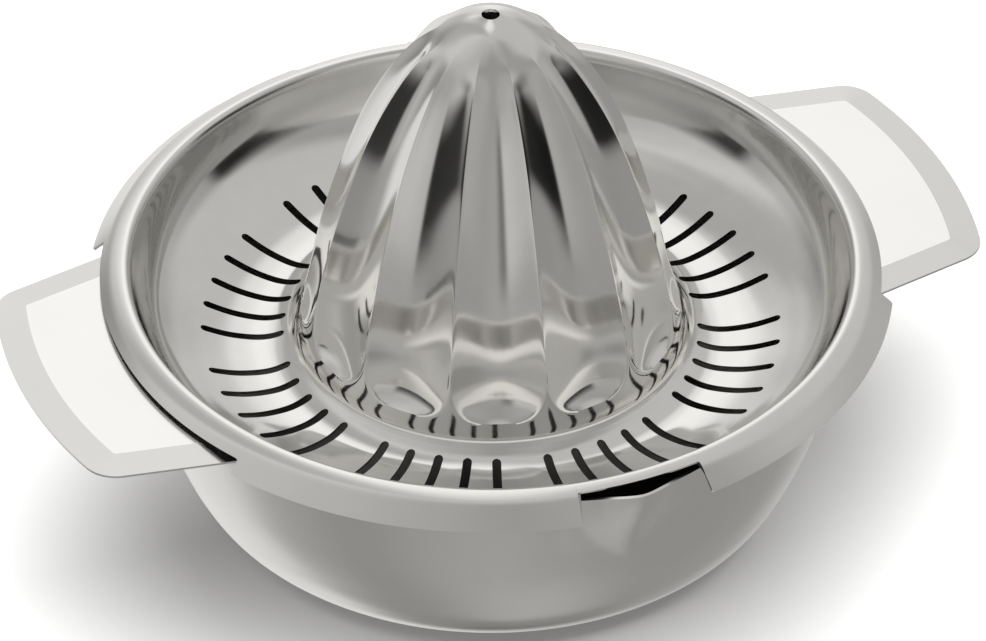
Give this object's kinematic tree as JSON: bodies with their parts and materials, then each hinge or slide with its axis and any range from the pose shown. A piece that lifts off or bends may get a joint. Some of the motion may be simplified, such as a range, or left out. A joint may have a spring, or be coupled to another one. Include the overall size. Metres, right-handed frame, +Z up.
{
  "type": "hand citrus juicer",
  "caption": "Round steel hand juicer: bowl with two tab handles and two pour spouts, and a lift-out strainer dish with a fluted reaming cone.",
  "frame": {"origin": "centre of the bowl's footprint on the worktop, at the underside of its base", "axes": "+X through the right tab handle, +Y through the rear pour spout, +Z up along the reaming cone"},
  "size_m": [0.1774, 0.142, 0.101],
  "materials": {
    "bowl_steel": "satin stainless steel",
    "handle_steel": "satin stainless steel",
    "insert_steel": "bright polished stainless steel"
  },
  "bodies": {
    "bowl": {"bowl": "bowl_steel", "handle_left": "handle_steel", "handle_right": "handle_steel"},
    "insert": {"strainer_dish": "insert_steel", "reamer_cone": "insert_steel"}
  },
  "joints": [
    {"name": "insert_lift", "type": "slide", "parent": "bowl", "child": "insert", "axis": [0, 0, 1], "range_m": [0, 0.1]}
  ]
}
